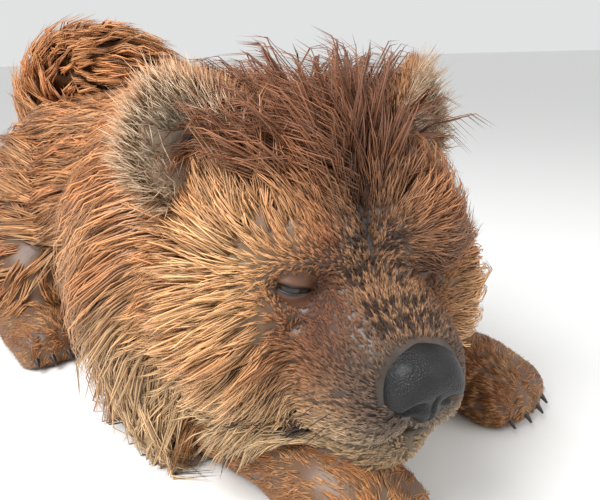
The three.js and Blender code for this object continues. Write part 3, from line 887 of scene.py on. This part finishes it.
def make_lids(word, s, opening, material):
    """The lids: a closed band round the slit, with its inner edge on the eyeball and its outer edge under
    the skin."""
    out, across, up = eye_axes(s)
    centre = EYE_AT * np.array([1, s, 1])
    sides = 96
    front, back = np.linspace(1, 0, 15), np.linspace(0, 1, 9)[1:]
    profile = [(w, 0.0) for w in front] + [(w, 1.0) for w in back]
    angle = np.arange(sides) / sides * 2 * math.pi
    lift = np.sin(angle)
    edge_h = np.cos(angle) * SLIT_HALF
    edge_v = np.where(lift > 0, lift * opening, lift * opening * 0.8) + LID_SLANT * s * edge_h
    rim_h, rim_v = np.cos(angle) * RIM_HALF[0], lift * RIM_HALF[1]
    rows = []
    for w, behind in profile:
        h, v = edge_h + (rim_h - edge_h) * w, edge_v + (rim_v - edge_v) * w
        flat = centre + h[:, None] * across + v[:, None] * up
        radius = EYE_RADIUS + 0.3 + 1.5 * step(0, 0.3, w) - 1.4 * behind
        depth = np.sqrt(np.maximum(radius**2 - h**2 - v**2, 4.0))
        eye_side = flat + depth[:, None] * out
        skin_side = to_head(settle(free_field, from_head(flat + 12.0 * out), 5))
        skin_side = skin_side - out * (1.6 * step(0.8, 1.0, w) + 1.6 * behind)
        share = step(0.3, 0.95, w)
        rows.append(eye_side * (1 - share) + skin_side * share)
    points = from_head(np.concatenate(rows))
    quads = ring_quads(len(rows), sides, closed=True)
    lids = make_mesh(f"lids_{word}", points, outward(points, quads))
    near_edge = np.repeat([w for w, _ in profile], sides)
    paint(lids, mix(lin(22, 14, 11), lin(98, 62, 40), step(0.1, 0.34, near_edge)), material)
    return belongs(lids, "wet_coat")


def outward(points, faces):
    """The same faces, turned over if they enclose a volume below zero."""
    a = points[faces[:, 0]]
    total = 0.0
    for k in range(1, faces.shape[1] - 1):
        total += (a * np.cross(points[faces[:, k]], points[faces[:, k + 1]])).sum()
    return faces if total > 0 else faces[:, ::-1]


def nose_local(q):
    """The nose leather: a broad top and two wings, dented by the nostrils, their side slits and the middle
    groove."""
    m = mirrored(q)
    x, y, z = m.T
    d = blend(
        3,
        ball(q, 100, 0, -31, 19, 22.5, 15.5),
        ball(m, 105, 13, -40, 12.5, 10.5, 11.5),
        ball(q, 104, 0, -49, 10, 8, 12),
    )
    nostril = 9.5 * np.exp(-((x - 117) ** 2) / 90 - (y - NOSTRIL_Y) ** 2 / 22 - (z - NOSTRIL_Z) ** 2 / 17)
    slit_z = -45.5 - 0.036 * (y - 12) ** 2
    slit = 4.5 * np.exp(-(((z - slit_z) / 2.1) ** 2)) * step(11, 15, y) * step(96, 102, x)
    groove = 1.7 * np.exp(-((y / 1.3) ** 2)) * step(-33, -39, z) * step(98, 104, x)
    return d + nostril + slit + groove


# A ray longer than any way out of the nose, mm, and how often it is halved to find the surface
NOSE_REACH = 60.0
HALVINGS = 26


def make_nose(material):
    """The nose leather, cast out from a line inside it: each ray stops where the field is 0."""
    rows, sides = 110, 140
    polar, angle = round_grid(rows, sides)
    across, up, forth = on_ball(polar, angle)
    ray = np.stack([forth, across, up], 1)
    share = polar / math.pi
    start = np.array([88.0, 0, -36]) + (share**2 * (3 - 2 * share))[:, None] * np.array([16.0, 0, -2])
    low, high = np.zeros(len(ray)), np.full(len(ray), NOSE_REACH)
    for _ in range(HALVINGS):
        middle = (low + high) / 2
        inside = nose_local(start + ray * middle[:, None]) < 0
        low, high = np.where(inside, middle, low), np.where(inside, high, middle)
    q = start + ray * low[:, None]
    nose = make_mesh("nose", from_head(q), capped(rows, sides))
    x, y, z = mirrored(q).T
    # Painted shade darkens the nostrils nearly to black, and painted sheen lightens the top of the nose in
    # blotches
    hole = np.exp(-(((y - NOSTRIL_Y) / 5) ** 2) - ((z - NOSTRIL_Z) / 4.4) ** 2) * step(98, 106, x)
    painted_sheen = step(-44, -24, z) * np.clip(0.5 + 0.5 * wander(q, 5), 0, 1)
    colour = mix(lin(20, 20, 22), lin(34, 33, 35), painted_sheen)
    paint(nose, mix(colour, lin(5, 4, 4), np.clip(hole * 1.6, 0, 1)), material)
    return belongs(nose, "nose_leather", "nose")


def tubes(name, lines, radii, sides):
    """Closed tubes along lines of equal length; each radius belongs to one ring, and caps end them."""
    count, rows = lines.shape[:2]
    run = unit(np.gradient(lines, axis=1))
    side = unit(np.cross(run, np.array([0.12, 0.3, 1.0])))
    top = np.cross(side, run)
    a = (np.arange(sides) / sides * 2 * math.pi)[None, None, :, None]
    ring = side[:, :, None] * np.cos(a) + top[:, :, None] * np.sin(a)
    ring = lines[:, :, None] + radii[:, :, None, None] * ring
    points = np.concatenate([ring.reshape(count, -1, 3), lines[:, :1], lines[:, -1:]], 1)
    flat = points.reshape(-1, 3)
    faces = copies(capped(rows, sides), count, points.shape[1])
    return make_mesh(name, flat, outward(flat, faces))


def make_claws(material):
    """Blunt claws, one on each toe."""
    lines, radii = [], []
    t = np.linspace(0, 1, 7)[:, None]
    paws = [(FOREPAW_X + forward(s) + FORE_TOE_REACH, s * LEG_Y, FORE_TOES) for s in (-1, 1)]
    paws += [(HIND_TOE_X, s * HINDPAW_Y, HIND_TOES) for s in (-1, 1)]
    for x, y, toes in paws:
        for aside in toes:
            start = np.array([x - abs(aside) * TOE_BACK + 15, y + aside, 17.0])
            lines.append(start + t * np.array([14.0, aside * 0.06, -3.0]) + t**2 * np.array([0, 0, -6.5]))
            radii.append(3.4 * (1 - 0.72 * t[:, 0] ** 1.6))
    claws = tubes("claws", np.array(lines), np.array(radii), 12)
    claws.data.materials.append(material)
    return belongs(claws, "nose_leather")


def make_whiskers(material):
    """Thin, dark, bent whiskers on the lips."""
    lines, radii = [], []
    t = np.linspace(0, 1, 9)[:, None]
    for s in (-1, 1):
        for i in range(16):
            row, col = i // 4, i % 4
            root = np.array([84.0 - 12 * col, s * 44.0, -48.0 - 7.5 * row])
            world = settle(free_field, from_head(root[None]), 5)[0]
            n = unit(slope(free_field, world[None]))[0]
            length = 20 + 20 * rng.random()
            lie = (np.array([-0.75, s * 0.4, -0.42]) + 0.22 * rng.normal(size=3)) @ HEAD_ROT.T
            bend = t**2 * np.array([0, 0, -5.0])
            lines.append(world - n * 1.5 + t * length * (n * 0.35 + lie * 0.8) + bend)
            radii.append(0.42 * (1 - 0.85 * t[:, 0]))
    whiskers = tubes("whiskers", np.array(lines), np.array(radii), 5)
    whiskers.data.materials.append(material)
    return belongs(whiskers, "wet_coat")


# Materials
def new_material(name):
    """A new material, its node tree and its main shader."""
    material = bpy.data.materials.new(name)
    material.use_nodes = True
    return material, material.node_tree, material.node_tree.nodes["Principled BSDF"]


def painted_material(name, roughness, wet):
    """A material coloured by the piece's own painted colours, under a wet film."""
    material, tree, shader = new_material(name)
    colour = tree.nodes.new("ShaderNodeAttribute")
    colour.attribute_name = FUR
    tree.links.new(colour.outputs["Color"], shader.inputs["Base Color"])
    shader.inputs["Roughness"].default_value = roughness
    shader.inputs["Coat Weight"].default_value = wet
    shader.inputs["Coat Roughness"].default_value = 0.22
    return material, tree, shader


def bump_nodes(tree, texture):
    """A texture in the piece's own space and a bump, ready to be joined."""
    place, texture = tree.nodes.new("ShaderNodeTexCoord"), tree.nodes.new(texture)
    bump = tree.nodes.new("ShaderNodeBump")
    bump.inputs["Distance"].default_value = BUMP_DEPTH
    tree.links.new(place.outputs["Object"], texture.inputs["Vector"])
    return texture, bump


def bump_group():
    """The fine bump that the materials share, as a node group made once: noise turned into a normal."""
    if "bump" not in made:
        tree = bpy.data.node_groups.new("fine_bump", "ShaderNodeTree")
        for name in ("Scale", "Strength"):
            tree.interface.new_socket(name, in_out="INPUT", socket_type="NodeSocketFloat")
        tree.interface.new_socket("Normal", in_out="OUTPUT", socket_type="NodeSocketVector")
        entry, leave = tree.nodes.new("NodeGroupInput"), tree.nodes.new("NodeGroupOutput")
        noise, bump = bump_nodes(tree, "ShaderNodeTexNoise")
        noise.inputs["Detail"].default_value = 4.0
        tree.links.new(entry.outputs["Scale"], noise.inputs["Scale"])
        tree.links.new(entry.outputs["Strength"], bump.inputs["Strength"])
        tree.links.new(noise.outputs["Fac"], bump.inputs["Height"])
        tree.links.new(bump.outputs["Normal"], leave.inputs["Normal"])
        made["bump"] = tree
    return made["bump"]


def rough_material(name, roughness, wet, scale, strength):
    """A painted material with the shared fine bump."""
    material, tree, shader = painted_material(name, roughness, wet)
    bump = tree.nodes.new("ShaderNodeGroup")
    bump.node_tree = bump_group()
    bump.inputs["Scale"].default_value = scale
    bump.inputs["Strength"].default_value = strength
    tree.links.new(bump.outputs["Normal"], shader.inputs["Normal"])
    return material


def coat_material():
    """The hair's material, made once."""
    if "coat" not in made:
        made["coat"] = rough_material("wet_hair", 0.48, bpy.context.scene.dog_coat.wetness, 900, 0.12)
    return made["coat"]


# Settings
class DogCoatSettings(bpy.types.PropertyGroup):
    """How many clumps of hair each region has, and how wet the hair is."""

    head_clumps: bpy.props.IntProperty(
        name="Head clumps", description="Clumps of long hair on the head", default=4000, min=500
    )
    face_clumps: bpy.props.IntProperty(
        name="Face clumps", description="Clumps of short hair on the face", default=7500, min=500
    )
    ruff_clumps: bpy.props.IntProperty(
        name="Ruff clumps", description="Clumps of hair on the neck", default=2000, min=100
    )
    body_clumps: bpy.props.IntProperty(
        name="Body clumps", description="Clumps of hair on the body", default=2000, min=100
    )
    leg_clumps: bpy.props.IntProperty(
        name="Leg clumps", description="Clumps of hair on legs and tail", default=2500, min=100
    )
    wetness: bpy.props.FloatProperty(
        name="Wetness", description="Weight of the wet film", default=0.1, min=0, max=1, subtype="FACTOR"
    )


class DogFaceSettings(bpy.types.PropertyGroup):
    """The face's small sizes."""

    lid_opening: bpy.props.FloatProperty(
        name="Eye opening", description="Half the height of the slit of the eye, mm",
        default=1.7, min=0.5, max=9
    )


class DogStageSettings(bpy.types.PropertyGroup):
    """The studio: its floor and its lamps."""

    floor_colour: bpy.props.FloatVectorProperty(
        name="Floor", description="Colour of the floor", default=(0.82, 0.82, 0.81), subtype="COLOR", size=3
    )
    key_power: bpy.props.FloatProperty(
        name="Key lamp", description="Power of the main lamp", default=20.0, min=0, unit="POWER"
    )
    fill_power: bpy.props.FloatProperty(
        name="Fill lamp", description="Power of the second lamp", default=5.0, min=0, unit="POWER"
    )
    sky: bpy.props.FloatProperty(
        name="Sky", description="Strength of the soft light all round", default=0.84, min=0
    )


def skin_net():
    """The skin's points and faces, made once: the net on a grid of 3 to 5 mm, put on the surface."""
    if "net" not in made:
        xs = np.concatenate([np.arange(-384, 120, 5.0), np.arange(120, 400, 2.6)])
        ys = np.arange(-196, 190, 4.0)
        ys = np.unique(np.concatenate([ys[ys < -130], np.arange(-130, 26, 2.9), ys[ys > 26]]))
        zs = np.arange(-5, 372, 3.8)
        points, quads = surface_net(skin_field, xs, ys, zs)
        free = points[:, 2] > 2.0
        points[free] = settle(free_field, points[free], 2)
        points[:, 2] = np.maximum(points[:, 2], 0.0)
        made["net"] = (points, outward(points, quads))
    return made["net"]


class DOG_OT_skin(bpy.types.Operator):
    """Makes the skin in one piece, from head to tail"""

    bl_idname = "dog.skin"
    bl_label = "Skin"

    def execute(self, context):
        points, quads = skin_net()
        skin = make_mesh("skin", points, quads)
        # The skin is painted at 0.22 of the coat's colour: painted shade in the gaps between the hairs
        paint(skin, markings(points) * 0.22, rough_material("skin", 0.5, 0.2, 700, 0.35))
        names = ["head", "jaw", "neck", "torso", "tail_base", "tail_end"]
        for word in ("right", "left"):
            names += [f"{leg}_{word}" for leg in ("foreleg", "forepaw", "hindleg", "hindpaw")]
        belongs(skin, "wet_coat", *names)
        return {"FINISHED"}


def off_the_floor(p):
    """Leaves the lowest 3 mm free of hair."""
    return p[:, 2] > 3.0


def grow(name, parts, clumps, each, weight, keep=off_the_floor, steps=STEPS):
    """Grows the coat of some parts of the body, in pieces that stay under PIECE_TRIANGLES. A strand has
    6 faces a step, less 2."""
    points, quads = skin_net()
    centres = points[quads].mean(1)
    share = among(part_fields(centres).argmin(1), *parts) * weight(centres)
    p = settle(free_field, spread_roots(points, quads, share, clumps), 1)
    n = unit(slope(free_field, p))
    rule = coat_rule(p, n)
    chosen = keep(p)
    p, n = p[chosen], n[chosen]
    rule = {key: values[chosen] for key, values in rule.items()}
    rule["length"] = rule["length"] * (0.75 + 0.5 * rng.random(len(p)))
    path = flow(p, n, rule, steps)
    lines, up, widths = strands(path, n, rule["spread"], rule["width"], each)
    base = np.repeat(markings(p), each, axis=0)
    light = 0.62 + 0.75 * rng.random((len(base), 1)) ** 1.4
    crown = np.repeat(step(36, 70, rule["q"][:, 2]) * among(rule["kind"], "head"), each)
    # The roots are painted at 0.4 of the coat's colour and the tips at 1.3 of it: painted shade deep in the
    # coat and painted light on its outer hair. The crown's tips lean to their own darker colour
    tip = mix(base * light * 1.3, CROWN_TIP * light, crown * 0.6)
    spots = np.repeat(skin_uv(p, rule["kind"]), each, axis=0)
    strand_columns = (lines, up, widths, base * light * 0.4, tip, spots)
    order = rng.permutation(len(lines))
    limit = PIECE_TRIANGLES // (6 * steps - 2)
    for i in range(0, len(lines), limit):
        pick = order[i : i + limit]
        make_strands(f"{name}_{i // limit + 1}", *(column[pick] for column in strand_columns))


def off_the_face(p):
    """Leaves the nose, the eyes' slits, the mouth's line, the bare spot and the ears' cups free of hair."""
    q = to_head(p)
    x, y, z = mirrored(q).T
    slant = LID_SLANT * (y - EYE_AT[1])
    eye = np.hypot((y - EYE_AT[1] - 4) / 11.5, (z + slant) / 3.6) * 8.6
    eye = np.where((x > 20) & (q[:, 1] < 0), eye, np.where(x > 20, eye * 1.5, 99.0))
    cups = [ear_axes(s)[0] + 4 * ear_axes(s)[3] for s in (-1, 1)]
    ear = np.min([np.linalg.norm(q - cup, axis=1) for cup in cups], axis=0)
    lip = (np.abs(z - mouth_height(x)) < 1.6) & (x > 20)
    spot = np.linalg.norm(q - BARE_SPOT, axis=1)
    return (nose_local(q) > 1.0) & (eye > 8.6) & (ear > 32) & ~lip & (spot > 4.6)


def face_share(p):
    """1 on the muzzle and round the eyes, where the hair is short, and 0 on the crown and cheeks."""
    q = mirrored(to_head(p))
    eye = np.linalg.norm(q - EYE_AT, axis=1)
    return np.maximum(step(66, 54, taper(q, *MUZZLE_AXIS, 0, 0)), step(30, 20, eye))


def even(p):
    """The same share of hair everywhere."""
    return np.ones(len(p))


def leg_share(p):
    """1 on the forearms and paws, where the hair is short, and 0 on thighs and elbows."""
    fore = step(120, 160, p[:, 0])
    hind = step(62, 46, p[:, 2]) * (p[:, 0] < 0)
    return np.maximum(fore, hind)


class DOG_OT_head_coat(bpy.types.Operator):
    """Grows the long hair of the crown, the cheeks and the throat"""

    bl_idname = "dog.head_coat"
    bl_label = "Head coat"

    def execute(self, context):
        settings = context.scene.dog_coat
        grow("head_coat", ("head",), settings.head_clumps, 7, lambda p: 1.02 - face_share(p), off_the_face)
        return {"FINISHED"}


class DOG_OT_face_coat(bpy.types.Operator):
    """Grows the short hair of the muzzle and round the eyes"""

    bl_idname = "dog.face_coat"
    bl_label = "Face coat"

    def execute(self, context):
        count = context.scene.dog_coat.face_clumps
        grow("face_coat", ("head",), count, 4, face_share, off_the_face, SHORT_STEPS)
        return {"FINISHED"}


class DOG_OT_ruff_coat(bpy.types.Operator):
    """Grows the long hair of the neck"""

    bl_idname = "dog.ruff_coat"
    bl_label = "Ruff"

    def execute(self, context):
        grow("ruff_coat", ("neck",), context.scene.dog_coat.ruff_clumps, 7, even)
        return {"FINISHED"}


class DOG_OT_body_coat(bpy.types.Operator):
    """Grows the long hair of the body"""

    bl_idname = "dog.body_coat"
    bl_label = "Body coat"

    def execute(self, context):
        grow("body_coat", ("torso",), context.scene.dog_coat.body_clumps, 6, even, steps=SHORT_STEPS)
        return {"FINISHED"}


class DOG_OT_leg_coat(bpy.types.Operator):
    """Grows the hair of the legs, the paws and the tail"""

    bl_idname = "dog.leg_coat"
    bl_label = "Leg and tail coat"

    def execute(self, context):
        count = context.scene.dog_coat.leg_clumps
        long_parts = ("foreleg", "hindleg", "tail")
        grow("leg_coat", long_parts, count, 6, lambda p: 1.02 - leg_share(p), steps=SHORT_STEPS)
        grow("leg_down", ("foreleg", "hindleg"), 4 * count, 4, leg_share, steps=DOWN_STEPS)
        return {"FINISHED"}


class DOG_OT_ears(bpy.types.Operator):
    """Makes both ears and their hair"""

    bl_idname = "dog.ears"
    bl_label = "Ears"

    def execute(self, context):
        material = rough_material("ear_skin", 0.6, 0.1, 600, 0.3)
        for word, s in (("right", -1), ("left", 1)):
            make_ear(word, s, material)
        return {"FINISHED"}


class DOG_OT_eyes(bpy.types.Operator):
    """Makes both eyes and their lids"""

    bl_idname = "dog.eyes"
    bl_label = "Eyes"

    def execute(self, context):
        eye = rough_material("eye", 0.28, 0.15, 300, 0.0)
        lid = rough_material("lid", 0.5, 0.15, 900, 0.3)
        for word, s in (("right", -1), ("left", 1)):
            make_eye(word, s, eye)
            make_lids(word, s, context.scene.dog_face.lid_opening, lid)
        return {"FINISHED"}


class DOG_OT_nose(bpy.types.Operator):
    """Makes the nose leather, with small round cells as its bump"""

    bl_idname = "dog.nose"
    bl_label = "Nose"

    def execute(self, context):
        material, tree, shader = painted_material("nose_leather", 0.46, 0.12)
        cells, bump = bump_nodes(tree, "ShaderNodeTexVoronoi")
        cells.inputs["Scale"].default_value = 900
        bump.inputs["Strength"].default_value = 0.6
        tree.links.new(cells.outputs["Distance"], bump.inputs["Height"])
        tree.links.new(bump.outputs["Normal"], shader.inputs["Normal"])
        shader.inputs["Specular IOR Level"].default_value = 0.28
        make_nose(material)
        return {"FINISHED"}


# The claws' and the whiskers' materials: the colour of horn and the colour of dark hair
HORN, DARK_HAIR = (46, 38, 34), (40, 30, 26)


class DOG_OT_small_parts(bpy.types.Operator):
    """Makes the claws and the whiskers"""

    bl_idname = "dog.small_parts"
    bl_label = "Claws and whiskers"

    def execute(self, context):
        for name, maker, rgb in (("claw", make_claws, HORN), ("whisker", make_whiskers, DARK_HAIR)):
            material, _, shader = new_material(name)
            shader.inputs["Base Color"].default_value = (*lin(*rgb), 1)
            shader.inputs["Roughness"].default_value = 0.4
            maker(material)
        return {"FINISHED"}


def lamp(name, place, aim, size, power):
    """A soft square lamp at a place in metres, turned to its aim."""
    data = bpy.data.lights.new(name, "AREA")
    data.size = size
    data.energy = power
    obj = bpy.data.objects.new(name, data)
    bpy.context.scene.collection.objects.link(obj)
    obj.location = place
    direction = Vector(aim) - Vector(place)
    obj.rotation_euler = direction.to_track_quat("-Z", "Y").to_euler()


# The camera's place in metres, its turns in degrees, and its lens and sensor in mm
CAMERA_PLACE = (0.518, -0.329, 0.295)
CAMERA_AZIMUTH, CAMERA_RISE, CAMERA_ROLL = 48.1, 18.0, -1.6
CAMERA_LENS, CAMERA_SENSOR = 36.0, 36.0
CAMERA_NEAREST = 0.01
# Half the width of the floor, mm
FLOOR_HALF = 60000.0


def set_camera(scene):
    """Puts up the camera: its axes come from its azimuth and rise, and are then rolled about its view."""
    az, el, roll = (math.radians(a) for a in (CAMERA_AZIMUTH, CAMERA_RISE, CAMERA_ROLL))
    back = np.array([math.sin(az) * math.cos(el), -math.cos(az) * math.cos(el), math.sin(el)])
    level = np.array([math.cos(az), math.sin(az), 0.0])
    upright = np.cross(back, level)
    right = math.cos(roll) * level + math.sin(roll) * upright
    up = -math.sin(roll) * level + math.cos(roll) * upright
    data = bpy.data.cameras.new("camera")
    data.sensor_width = CAMERA_SENSOR
    data.lens = CAMERA_LENS
    data.clip_start = CAMERA_NEAREST
    camera = bpy.data.objects.new("camera", data)
    scene.collection.objects.link(camera)
    place = Matrix.Identity(4)
    for row in range(3):
        place[row][0], place[row][1], place[row][2] = right[row], up[row], back[row]
        place[row][3] = CAMERA_PLACE[row]
    camera.matrix_world = place
    scene.camera = camera


class DOG_OT_stage(bpy.types.Operator):
    """Sets out the floor, the lamps and the camera"""

    bl_idname = "dog.stage"
    bl_label = "Stage"

    def execute(self, context):
        settings = context.scene.dog_stage
        corners = FLOOR_HALF * np.array([(-1.0, -1.0, 0), (1.0, -1.0, 0), (1.0, 1.0, 0), (-1.0, 1.0, 0)])
        floor = make_mesh("floor", corners, np.array([[0, 1, 2, 3]]), False)
        material, _, shader = new_material("floor")
        shader.inputs["Base Color"].default_value = (*settings.floor_colour, 1)
        shader.inputs["Roughness"].default_value = 0.7
        floor.data.materials.append(material)
        lamp("key_lamp", (0.15, -0.75, 1.1), (0.24, -0.05, 0.15), 0.7, settings.key_power)
        lamp("fill_lamp", (1.3, 0.4, 0.8), (0.24, -0.05, 0.12), 1.0, settings.fill_power)
        world = bpy.data.worlds.new("sky")
        world.use_nodes = True
        sky = world.node_tree.nodes["Background"]
        sky.inputs["Color"].default_value = (0.9, 0.91, 0.91, 1)
        sky.inputs["Strength"].default_value = settings.sky
        context.scene.world = world
        set_camera(context.scene)
        context.scene.view_settings.view_transform = "Standard"
        return {"FINISHED"}


OPERATORS = (
    DOG_OT_skin,
    DOG_OT_head_coat,
    DOG_OT_face_coat,
    DOG_OT_ruff_coat,
    DOG_OT_body_coat,
    DOG_OT_leg_coat,
    DOG_OT_ears,
    DOG_OT_eyes,
    DOG_OT_nose,
    DOG_OT_small_parts,
    DOG_OT_stage,
)


class DOG_PT_panel(bpy.types.Panel):
    """Lists the steps that build the dog, with their settings"""

    bl_idname = "DOG_PT_panel"
    bl_label = "Chow chow"
    bl_space_type = "VIEW_3D"
    bl_region_type = "UI"
    bl_category = "Chow chow"

    def draw(self, context):
        for group in (context.scene.dog_coat, context.scene.dog_face, context.scene.dog_stage):
            box = self.layout.box()
            for name in group.__annotations__:
                box.prop(group, name)
        for operator in OPERATORS:
            self.layout.operator(operator.bl_idname)


CLASSES = (DogCoatSettings, DogFaceSettings, DogStageSettings, *OPERATORS, DOG_PT_panel)


def register():
    """Adds the classes and hangs the settings on the scene."""
    for cls in CLASSES:
        bpy.utils.register_class(cls)
    bpy.types.Scene.dog_coat = bpy.props.PointerProperty(type=DogCoatSettings)
    bpy.types.Scene.dog_face = bpy.props.PointerProperty(type=DogFaceSettings)
    bpy.types.Scene.dog_stage = bpy.props.PointerProperty(type=DogStageSettings)


def unregister():
    """Takes the settings and the classes away again."""
    for name in ("dog_coat", "dog_face", "dog_stage"):
        delattr(bpy.types.Scene, name)
    for cls in reversed(CLASSES):
        bpy.utils.unregister_class(cls)


def main():
    """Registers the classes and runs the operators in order."""
    register()
    for operator in OPERATORS:
        group, name = operator.bl_idname.split(".")
        getattr(getattr(bpy.ops, group), name)()


if __name__ == "__main__":
    main()
